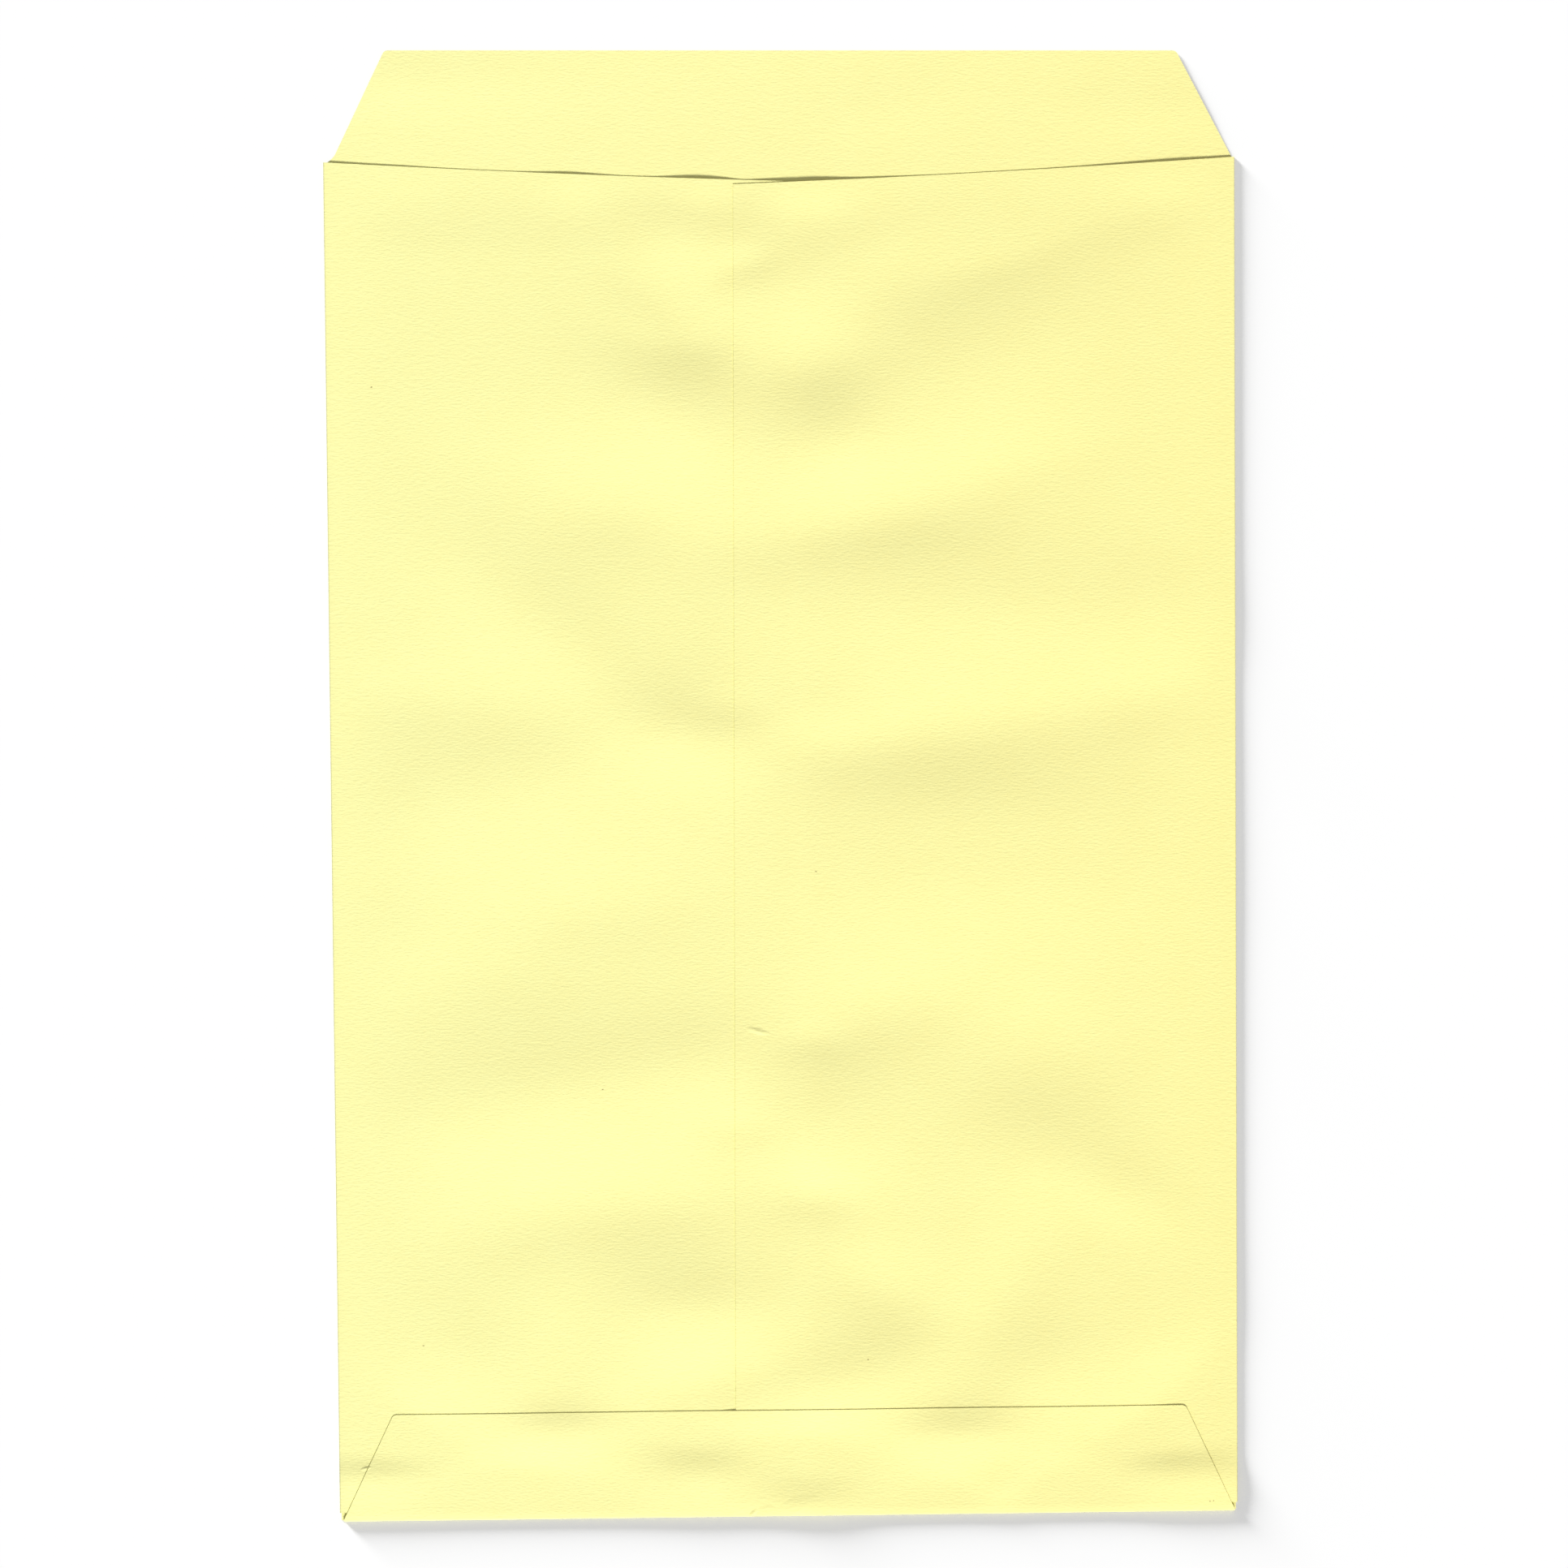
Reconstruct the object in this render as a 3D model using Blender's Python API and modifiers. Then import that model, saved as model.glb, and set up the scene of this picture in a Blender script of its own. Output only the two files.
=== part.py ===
"""Pocket envelope for sheets of 6 by 9 inches, folded from one die-cut paper blank.

The address side lies on the table. Over it lie the two side panels, glued along a seam
near the middle, and the foot flap, glued over their lower ends. The seal flap stands open
above the mouth. X runs across the envelope, Y from foot to flap and Z up, in metres.
"""

import math

import bmesh
import bpy
from mathutils import Vector

# The paper and the film of glue between two glued layers
PAPER = 0.00012
GLUE = 0.00005

# The body over its folds, and how far the hand-fed folds lie out of square, as run per length
BODY_WIDTH = 0.1524
BODY_HEIGHT = 0.2286
LEFT_LEAN = 0.0125
RIGHT_LEAN = 0.0024
FOOT_SLOPE = 0.0127
MOUTH_SLOPE = 0.0063

# The pressed folds, measured inside the sheet
FOLD_GAP = 0.0002
FOLD_ROUND = 0.00014

# The side panels: the right one lies over the left one
SEAM_PLACE = -0.0083
OVERLAP = 0.0096
LEFT_DROP = 0.0036
RIGHT_DROP = 0.0041
THROAT_BOW = 0.3
PANEL_CLEAR = 0.0012

# The foot flap
FOOT_FLAP = 0.0176
FOOT_TAPER = 0.0083
FOOT_INSET_LEFT = 0.0004
FOOT_INSET_RIGHT = 0.0002

# The seal flap
SEAL_FLAP = 0.0184
SEAL_TAPER_LEFT = 0.0089
SEAL_TAPER_RIGHT = 0.0094
SEAL_INSET_LEFT = 0.0011
SEAL_INSET_RIGHT = 0.0002
SEAL_CURL = 0.00015

# The glue keeps this far inside the overlap at the seam
SEAM_GLUE_MARGIN = 0.0016

# How far the back stands off the front, and over which width it rises from folds and mouth
PUFF = 0.0009
SIDE_EASE = 0.018
FOOT_EASE = 0.030
MOUTH_EASE = 0.050
MOUTH_SHARE = 0.1
EDGE_CALM = 0.5
STEP_RUN = 0.0025
SOFTNESS = 0.00012

# The soft ripples of used paper, each as: place across and up the body as a share of its
# width and height, length, width, turn in degrees, and rise. The last three sizes are
# multiples of these.
RIPPLE_LENGTH = 0.010
RIPPLE_WIDTH = 0.005
RIPPLE_RISE = 0.00055
RIDGES = (
    (-0.104, 0.463, 0.7, 0.9, -30, 1.2),
    (0.022, 0.417, 1.0, 0.9, 15, 0.7),
    (-0.132, 0.315, 1.0, 1.2, -28, 1.6),
    (0.050, 0.291, 0.6, 0.9, 10, 0.9),
    (0.218, 0.352, 1.9, 1.5, 24, 1.0),
    (-0.305, 0.176, 1.5, 1.4, -38, 1.1),
    (-0.202, 0.121, 1.0, 1.2, -38, 0.8),
    (0.202, 0.170, 2.3, 1.2, 0, 0.9),
    (0.435, 0.172, 0.8, 1.2, 0, 0.5),
    (-0.102, 0.073, 1.0, 1.0, -14, 1.5),
    (-0.310, 0.036, 2.5, 1.4, 15, 1.1),
    (0.205, -0.026, 2.3, 1.7, 0, 1.4),
    (-0.250, -0.190, 2.0, 1.4, 10, 1.7),
    (-0.090, -0.165, 0.9, 1.1, 10, 0.7),
    (0.049, -0.213, 0.8, 1.5, -20, 1.2),
    (0.295, -0.235, 1.0, 1.2, -10, 0.8),
    (-0.099, -0.348, 0.9, 0.9, 0, 1.3),
    (0.067, -0.405, 0.9, 0.9, 12, 1.4),
    (-0.342, -0.391, 0.8, 0.9, -55, 0.8),
    (0.302, -0.396, 0.6, 1.0, 30, 0.8),
    (0.192, -0.446, 0.8, 0.8, 0, 1.5),
    (-0.256, -0.444, 0.6, 0.7, 0, 1.0),
    (-0.099, -0.485, 0.7, 0.6, 0, 2.2),
    (-0.430, -0.480, 0.8, 0.7, 0, 2.3),
    (0.440, -0.480, 0.8, 0.7, 0, 2.5),
    (0.440, -0.352, 0.9, 1.8, 30, 0.6),
    (0.385, -0.264, 0.8, 0.8, -25, 0.7),
)
HOLLOWS = (
    (-0.108, 0.384, 0.7, 0.9, -50, 1.2),
    (0.033, 0.351, 0.7, 0.9, 8, 1.3),
    (0.228, 0.436, 1.7, 1.0, 22, 0.9),
    (-0.190, 0.246, 1.4, 1.1, -16, 1.1),
    (0.155, 0.252, 1.8, 0.9, 14, 1.2),
    (-0.100, 0.185, 0.9, 0.9, -80, 0.6),
    (-0.395, 0.099, 1.6, 0.9, -3, 1.0),
    (0.160, 0.078, 2.0, 1.0, 6, 1.3),
    (0.400, 0.102, 1.2, 0.9, 4, 0.6),
    (-0.283, -0.077, 2.0, 1.4, 16, 1.4),
    (0.096, -0.130, 1.1, 1.1, 14, 1.2),
    (0.275, -0.157, 1.0, 1.4, -5, 1.2),
    (-0.158, -0.269, 1.2, 1.1, 0, 1.4),
    (-0.319, -0.286, 1.1, 1.1, 5, 1.3),
    (0.042, -0.265, 0.7, 0.8, -20, 1.0),
    (0.107, -0.331, 0.8, 1.0, -30, 1.3),
    (-0.099, -0.408, 0.9, 0.8, 18, 1.3),
    (0.030, -0.450, 0.8, 0.7, 0, 1.6),
    (-0.465, -0.436, 1.1, 1.1, -25, 2.2),
    (0.432, -0.418, 1.0, 0.9, 40, 1.4),
    (0.233, -0.352, 1.3, 1.0, 62, 1.0),
    (-0.240, -0.385, 1.0, 0.9, 85, 0.7),
    (0.318, -0.483, 0.6, 0.6, 0, 1.0),
    (-0.292, -0.476, 0.7, 0.6, 0, 1.0),
)

# Where the mouth gapes a little, and the waves of the open seal flap, in the same form
MOUTH_LIFTS = (
    (-0.220, 0.491, 0.6, 0.8, 0, 0.6),
    (-0.099, 0.486, 0.5, 0.8, 0, 0.8),
    (0.022, 0.484, 0.5, 0.8, 0, 0.9),
)
SEAL_WAVES = (
    (-0.400, 0.552, 1.4, 0.8, 0, 0.4),
    (0.094, 0.530, 0.9, 0.8, 20, 0.5),
)

# How finely each part of the sheet is divided. Below the mouth band, the rows of the two
# side panels lie at the same heights, so that the layers of the seam stay parallel.
MOUTH_BAND = 0.010
BEND_CELLS = 4
FLAP_ROWS = 4
BODY_ROWS = 42
MOUTH_ROWS = 3
LEFT_COLUMNS = 15
RIGHT_COLUMNS = 16
OVERLAP_COLUMNS = 2
SEAL_COLUMNS = 18

# The foot flap follows the columns of the panels below, but for those that its sides cross
FOOT_SKIP = 3

# The strips of glue follow the same rows and columns, this share of a cell beside them, from
# this many cells inside the edges of the layers that they join
GLUE_SHIFT = 0.05
GLUE_INSET = 2

LEFT = -1
RIGHT = 1
PANEL_ROWS = (FLAP_ROWS, BODY_ROWS, MOUTH_ROWS)
FOOT_FOLLOWS = (
    (LEFT, range(FOOT_SKIP, LEFT_COLUMNS + 1 + OVERLAP_COLUMNS + 1)),
    (RIGHT, range(RIGHT_COLUMNS, FOOT_SKIP - 1, -1)),
)
FOOT_COLUMNS = sum(len(columns) for side, columns in FOOT_FOLLOWS) + 3
LEAN = {LEFT: LEFT_LEAN, RIGHT: RIGHT_LEAN}
FOLD_REACH = FOLD_ROUND + PAPER / 2
FOLD_HEIGHT = FOLD_GAP + PAPER
LAYER = PAPER + GLUE
HALF_FRONT = BODY_WIDTH / 2 - FOLD_ROUND - PAPER
FOOT_LEVEL = -BODY_HEIGHT / 2 + FOLD_ROUND + PAPER
MOUTH_LEVEL = BODY_HEIGHT / 2
SEAL_EDGE = MOUTH_LEVEL + SEAL_FLAP


def blend(start, end, share):
    return start + (end - start) * share


def clamp(share):
    return min(max(share, 0.0), 1.0)


def ease(share):
    share = clamp(share)
    return share * share * (3.0 - 2.0 * share)


def station(anchors, cells, index):
    """The index-th line of a row of cells that is shared out between the anchors."""
    for start, end, count in zip(anchors, anchors[1:], cells):
        if index <= count:
            return blend(start, end, index / count)
        index -= count
    return anchors[-1]


def foot_y(x):
    return FOOT_LEVEL + x * FOOT_SLOPE


def mouth_y(x):
    return MOUTH_LEVEL + x * MOUTH_SLOPE


def fold_x(side, y):
    return side * HALF_FRONT - y * LEAN[side]


def seam_x(y):
    """The cut edge of the right panel, on top of the seam."""
    return SEAM_PLACE - y * RIGHT_LEAN


def hidden_x(y):
    """The cut edge of the left panel, under the seam."""
    return SEAM_PLACE + OVERLAP - y * LEFT_LEAN


def cross(line_x, level_y):
    """Where a nearly upright line meets a nearly level one."""
    x, y = 0.0, 0.0
    for _ in range(6):
        x = line_x(y)
        y = level_y(x)
    return x, y


def ripple_sum(ripples, x, y):
    total = 0.0
    for across, up, length, width, turn, rise in ripples:
        dx = x - across * BODY_WIDTH
        dy = y - up * BODY_HEIGHT
        cosine = math.cos(math.radians(turn))
        sine = math.sin(math.radians(turn))
        along = (dx * cosine + dy * sine) / (length * RIPPLE_LENGTH)
        over = (dy * cosine - dx * sine) / (width * RIPPLE_WIDTH)
        total += rise * RIPPLE_RISE * math.exp(-0.5 * (along * along + over * over))
    return total


def above_zero(height):
    """The same height, eased so that it never falls below the sheet under it."""
    return (height + math.hypot(height, SOFTNESS)) / 2


def back_lift(x, y):
    """How far the back panels stand above the height of their folds."""
    to_side = min(x - fold_x(LEFT, y), fold_x(RIGHT, y) - x)
    side = ease(to_side / SIDE_EASE)
    foot = ease((y - foot_y(x)) / FOOT_EASE)
    mouth = ease((mouth_y(x) - y) / MOUTH_EASE)
    waves = ripple_sum(RIDGES, x, y) - ripple_sum(HOLLOWS, x, y)
    lift = PUFF * side * foot * blend(MOUTH_SHARE, 1.0, mouth)
    lift += waves * blend(EDGE_CALM, 1.0, side * foot)
    lift += ripple_sum(MOUTH_LIFTS, x, y) * side
    return above_zero(lift)


def cover(x, y):
    """1 over the two layers of the seam, falling to 0 beside them."""
    from_left = (x - seam_x(y)) / STEP_RUN + 1.0
    from_right = (hidden_x(y) - x) / STEP_RUN + 1.0
    return clamp(min(from_left, from_right))


def left_point(x, y):
    return Vector((x, y, FOLD_HEIGHT + back_lift(x, y)))


def right_point(x, y):
    return Vector((x, y, FOLD_HEIGHT + back_lift(x, y) + LAYER * cover(x, y)))


def foot_flap_point(x, rise):
    """A point of the foot flap, at this height above the foot fold."""
    y = foot_y(x) + rise
    layers = 1.0 + cover(x, y) * clamp(rise / PANEL_CLEAR)
    return Vector((x, y, FOLD_HEIGHT + back_lift(x, y) + LAYER * layers))


def seal_flap_point(x, y):
    """A point of the open seal flap, which carries on from the front."""
    share = (y - mouth_y(x)) / (SEAL_EDGE - mouth_y(x))
    lift = SEAL_CURL * share * share + ripple_sum(SEAL_WAVES, x, y) * ease(share)
    return Vector((x, y, lift))


def throat_y(x, edge_x, corner_x, drop):
    """The cut edge of a side panel at the mouth, from its fold to its free edge."""
    share = (x - corner_x) / (edge_x - corner_x)
    share += THROAT_BOW * share * (1.0 - share)
    return mouth_y(x) - drop * share


def add_patch(sheet, columns, rows, place, mirrored=False):
    """Add a grid of cells to the sheet, each corner moved to where place() puts it.

    Every layer has its cells halved along the same diagonal, so that layers which lie on one
    another stay parallel. A mirrored patch has its columns from right to left.
    """
    grid = bmesh.ops.create_grid(sheet, x_segments=columns, y_segments=rows, size=0.5)
    cells = list({face for vert in grid["verts"] for face in vert.link_faces})
    for vert in grid["verts"]:
        column = round((vert.co.x + 0.5) * columns)
        row = round((vert.co.y + 0.5) * rows)
        vert.co = place(column, row)
    diagonal = "ALTERNATE" if mirrored else "FIXED"
    bmesh.ops.triangulate(sheet, faces=cells, quad_method=diagonal)


def turn_over(start, outward, end_height, step):
    """A point on a fold, from the front at step 0 to the back at step BEND_CELLS."""
    angle = math.pi * step / BEND_CELLS
    point = Vector(start) + Vector(outward) * FOLD_REACH * math.sin(angle)
    point.z = end_height * (1.0 - math.cos(angle)) / 2
    return point


def column_place(foot_x, top_x, throat, row):
    """Where a row crosses the column of a side panel that runs from foot_x to top_x."""
    foot = foot_y(foot_x)
    mouth = mouth_y(top_x)
    anchors = (foot + PANEL_CLEAR, foot + FOOT_FLAP, mouth - MOUTH_BAND, throat)
    y = station(anchors, PANEL_ROWS, row)
    return blend(foot_x, top_x, (y - foot) / (mouth - foot)), y


def panel_columns(side):
    """The upright lines that part a side panel, and the number of columns between them."""
    def fold(y):
        return fold_x(side, y)

    if side == LEFT:
        lines = (fold, lambda y: seam_x(y) - STEP_RUN, seam_x, hidden_x)
        return lines, (LEFT_COLUMNS, 1, OVERLAP_COLUMNS)
    lines = (fold, lambda y: hidden_x(y) + STEP_RUN, hidden_x, seam_x)
    return lines, (RIGHT_COLUMNS, 1, OVERLAP_COLUMNS)


def column_ends(side, index):
    """The X of a column of a side panel at the level of the foot fold and of the mouth."""
    lines, cells = panel_columns(side)
    foot_x = station([cross(line, foot_y)[0] for line in lines], cells, index)
    top_x = station([cross(line, mouth_y)[0] for line in lines], cells, index)
    return foot_x, top_x


def add_side_panel(sheet, side):
    """A side fold and the panel that it carries, in columns from the fold to the seam."""
    edge = hidden_x if side == LEFT else seam_x
    drop = LEFT_DROP if side == LEFT else RIGHT_DROP
    point = left_point if side == LEFT else right_point
    corner_x = cross(lambda y: fold_x(side, y), mouth_y)[0]
    edge_x = cross(edge, mouth_y)[0]

    def place(column, row):
        foot_x, top_x = column_ends(side, max(column - BEND_CELLS, 0))
        throat = throat_y(top_x, edge_x, corner_x, drop)
        x, y = column_place(foot_x, top_x, throat, row)
        end = point(x, y)
        if column >= BEND_CELLS:
            return end
        return turn_over((x, y, 0.0), (side, 0.0, 0.0), end.z, column)

    columns = BEND_CELLS + sum(panel_columns(side)[1])
    add_patch(sheet, columns, sum(PANEL_ROWS), place, mirrored=side == RIGHT)


def foot_span(rise):
    """The two slanted sides of the foot flap at this height above the foot fold."""
    taper = FOOT_TAPER * max(rise, 0.0) / FOOT_FLAP
    left = cross(lambda y: fold_x(LEFT, y), foot_y)[0] + FOOT_INSET_LEFT + taper
    right = cross(lambda y: fold_x(RIGHT, y), foot_y)[0] - FOOT_INSET_RIGHT - taper
    return left, right


def foot_rise(row):
    """How far a row of the foot flap lies above the foot fold."""
    return station((0.0, PANEL_CLEAR, FOOT_FLAP), (1, FLAP_ROWS), row)


def foot_column(rise, column):
    """The X of a column of the foot flap. All but the outer ones follow the panels below."""
    left, right = foot_span(rise)
    inner = []
    for side, indices in FOOT_FOLLOWS:
        for index in indices:
            foot_x, top_x = column_ends(side, index)
            share = rise / (mouth_y(top_x) - foot_y(foot_x))
            inner.append(blend(foot_x, top_x, share))
    places = (left, (left + inner[0]) / 2, *inner, (inner[-1] + right) / 2, right)
    return station(places, (1,) * FOOT_COLUMNS, column)


def add_foot_flap(sheet):
    """The foot fold and the flap that it carries, glued over the side panels."""
    def place(column, row):
        rise = foot_rise(max(row - BEND_CELLS, 0))
        x = foot_column(rise, column)
        end = foot_flap_point(x, rise)
        if row >= BEND_CELLS:
            return end
        return turn_over((x, end.y, 0.0), (0.0, -1.0, 0.0), end.z, row)

    add_patch(sheet, FOOT_COLUMNS, BEND_CELLS + 1 + FLAP_ROWS, place)


def add_seal_flap(sheet):
    """The open flap, a trapezium with a level edge that carries on from the front."""
    left = cross(lambda y: fold_x(LEFT, y), mouth_y)[0] + SEAL_INSET_LEFT
    right = cross(lambda y: fold_x(RIGHT, y), mouth_y)[0] - SEAL_INSET_RIGHT

    def place(column, row):
        share = row / FLAP_ROWS
        start = left + SEAL_TAPER_LEFT * share
        end = right - SEAL_TAPER_RIGHT * share
        x = blend(start, end, column / SEAL_COLUMNS)
        return seal_flap_point(x, blend(mouth_y(x), SEAL_EDGE, share))

    add_patch(sheet, SEAL_COLUMNS, FLAP_ROWS, place)


def add_front(sheet):
    """The flat address side, one face between the folds and the seal flap."""
    rim = []
    for side in (LEFT, RIGHT):
        rim.append(sheet.verts.new((*cross(lambda y: fold_x(side, y), foot_y), 0.0)))
    folds = [vert for vert in sheet.verts if abs(vert.co.z) < PAPER / 100 and on_front(vert.co)]
    folds.sort(key=lambda vert: math.atan2(vert.co.y, vert.co.x))
    front = sheet.faces.new(folds)
    bmesh.ops.triangulate(sheet, faces=[front], ngon_method="BEAUTY")


def on_front(point):
    margin = PAPER / 100
    beside = fold_x(LEFT, point.y) - margin < point.x < fold_x(RIGHT, point.y) + margin
    return beside and foot_y(point.x) - margin < point.y < mouth_y(point.x) + margin


def glue_seam():
    """The strip of glue between the two side panels."""
    strip = bmesh.new()
    foot_edges = (cross(seam_x, foot_y)[0], cross(hidden_x, foot_y)[0])
    top_edges = (cross(seam_x, mouth_y)[0], cross(hidden_x, mouth_y)[0])

    def inside(edges, share):
        return blend(edges[0] + SEAM_GLUE_MARGIN, edges[1] - SEAM_GLUE_MARGIN, share)

    def place(column, row):
        share = column / OVERLAP_COLUMNS
        line = (inside(foot_edges, share), inside(top_edges, share))
        x, y = column_place(*line, MOUTH_LEVEL, row + GLUE_INSET + GLUE_SHIFT)
        return left_point(x, y) + Vector((0.0, 0.0, LAYER / 2))

    add_patch(strip, OVERLAP_COLUMNS, FLAP_ROWS + BODY_ROWS - 2 * GLUE_INSET, place)
    return strip


def glue_foot():
    """The strip of glue between the foot flap and the side panels."""
    strip = bmesh.new()

    def place(column, row):
        rise = foot_rise(row + GLUE_INSET + GLUE_SHIFT)
        x = foot_column(rise, column + GLUE_INSET + GLUE_SHIFT)
        return foot_flap_point(x, rise) - Vector((0.0, 0.0, LAYER / 2))

    add_patch(strip, FOOT_COLUMNS - 2 * GLUE_INSET - 1, FLAP_ROWS - GLUE_INSET, place)
    return strip


def add_object(name, sheet, thickness, collection):
    """Make an object of an open surface, with Solidify for its thickness."""
    mesh = bpy.data.meshes.new(name)
    sheet.to_mesh(mesh)
    sheet.free()
    mesh.shade_smooth()
    thing = bpy.data.objects.new(name, mesh)
    collection.objects.link(thing)
    shell = thing.modifiers.new("thickness", "SOLIDIFY")
    shell.thickness = thickness
    shell.offset = 0.0
    shell.use_even_offset = True
    shell.use_quality_normals = True
    return thing


def paper_material():
    material = bpy.data.materials.new("yellow_paper")
    material.use_nodes = True
    shader = material.node_tree.nodes["Principled BSDF"]
    shader.inputs["Base Color"].default_value = (0.95, 0.91, 0.41, 1.0)
    shader.inputs["Roughness"].default_value = 0.85
    shader.inputs["Metallic"].default_value = 0.0
    return material


def centre_offset(sheet):
    """What brings the middle of the outline over the origin and its underside to Z = 0."""
    xs = [vert.co.x for vert in sheet.verts]
    ys = [vert.co.y for vert in sheet.verts]
    foot_edge = min(ys) - PAPER / 2
    return Vector((-(min(xs) + max(xs)) / 2, -(foot_edge + max(ys)) / 2, PAPER / 2))


for old in list(bpy.data.objects):
    bpy.data.objects.remove(old)

parts = bpy.data.collections.new("letter_envelope")
cutters = bpy.data.collections.new("glue_lines")
for collection in (parts, cutters):
    bpy.context.scene.collection.children.link(collection)

blank = bmesh.new()
add_side_panel(blank, LEFT)
add_side_panel(blank, RIGHT)
add_foot_flap(blank)
add_seal_flap(blank)
add_front(blank)
bmesh.ops.remove_doubles(blank, verts=blank.verts, dist=PAPER / 100)
bmesh.ops.recalc_face_normals(blank, faces=blank.faces)
offset = centre_offset(blank)
bmesh.ops.translate(blank, verts=blank.verts, vec=offset)

envelope = add_object("envelope", blank, PAPER, parts)
envelope.data.materials.append(paper_material())

for name, strip in (("seam_glue", glue_seam()), ("foot_glue", glue_foot())):
    bmesh.ops.translate(strip, verts=strip.verts, vec=offset)
    bead = add_object(name, strip, LAYER, cutters)
    bead.hide_render = True
    bead.display_type = "WIRE"
    joint = envelope.modifiers.new(name, "BOOLEAN")
    joint.operation = "UNION"
    joint.solver = "EXACT"
    joint.object = bead
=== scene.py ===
import math

import bmesh
import bpy
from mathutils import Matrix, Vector


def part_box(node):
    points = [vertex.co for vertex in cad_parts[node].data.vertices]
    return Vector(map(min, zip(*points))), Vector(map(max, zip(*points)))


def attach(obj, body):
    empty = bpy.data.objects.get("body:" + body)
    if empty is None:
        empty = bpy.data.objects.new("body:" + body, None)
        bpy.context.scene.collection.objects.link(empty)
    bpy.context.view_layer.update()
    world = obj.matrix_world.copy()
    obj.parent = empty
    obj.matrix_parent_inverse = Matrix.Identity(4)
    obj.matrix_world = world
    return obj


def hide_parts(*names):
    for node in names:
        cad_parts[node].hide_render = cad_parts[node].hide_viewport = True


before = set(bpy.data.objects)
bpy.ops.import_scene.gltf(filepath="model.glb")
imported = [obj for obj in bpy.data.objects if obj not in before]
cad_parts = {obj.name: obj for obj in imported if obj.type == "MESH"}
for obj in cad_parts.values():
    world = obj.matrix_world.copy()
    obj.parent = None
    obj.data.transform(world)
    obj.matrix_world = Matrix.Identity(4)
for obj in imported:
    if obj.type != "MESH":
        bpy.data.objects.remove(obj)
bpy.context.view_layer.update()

# Side panels.
# The left and right wings of the die-cut blank, folded in over the front on two pressed folds
# and lapped near the middle, the right wing on top. Machine-folded paper of about 100 g/m2,
# which has taken soft ripples from handling.
PAPER = 0.00012
GLUE = 0.00005
LAYER = PAPER + GLUE
BODY_WIDTH = 0.1524
BODY_HEIGHT = 0.2286
LEFT = -1
RIGHT = 1

# It is folded a little out of square: going up, the side folds lean to the left, and going
# right, the foot and the mouth climb, by these lengths a metre
LEAN = {LEFT: 0.0125, RIGHT: 0.0024}
FOOT_SLOPE = 0.0127
MOUTH_SLOPE = 0.0063

# The pressed folds: the gap that they keep between the sheets, and how far they bulge
FOLD_GAP = 0.0002
FOLD_ROUND = 0.00014
FOLD_REACH = FOLD_ROUND + PAPER / 2
FOLD_HEIGHT = FOLD_GAP + PAPER
HALF_FRONT = BODY_WIDTH / 2 - FOLD_ROUND - PAPER
FOOT_LEVEL = -BODY_HEIGHT / 2 + FOLD_ROUND + PAPER
MOUTH_LEVEL = BODY_HEIGHT / 2

# The lapped seam: the cut edge of the right panel, and how far the left one goes on under it
SEAM_PLACE = -0.0083
OVERLAP = 0.0096

# At the mouth the cut edges drop from the side folds to the seam, in a slight bow
DROP = {LEFT: 0.0036, RIGHT: 0.0041}
THROAT_BOW = 0.3

# How far above the foot fold the panels end, how high the foot flap covers them, and the
# band below the mouth whose rows take up the drop of its edges
PANEL_CLEAR = 0.0012
FOOT_FLAP = 0.0176
MOUTH_BAND = 0.010

# How far the back stands off the front, and over which widths it rises to that from the
# side folds, the foot fold and the mouth, where a share of it is left
PUFF = 0.0009
SIDE_EASE = 0.018
FOOT_EASE = 0.030
MOUTH_EASE = 0.050
MOUTH_SHARE = 0.1

# The share of the ripples that is left at the folds, and the height at which a hollow is
# eased off, so that it doesn't go through the sheet below
EDGE_CALM = 0.5
SOFTNESS = 0.00012

# The width over which the upper layers come down beside the overlap of the seam
STEP_RUN = 0.0025

# Handling has pressed the mouth nearly shut: how far its cut edges lie below the side folds,
# and over which width they come down to that
MOUTH_PRESS = 0.00018
MOUTH_PRESS_RUN = 0.012

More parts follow.
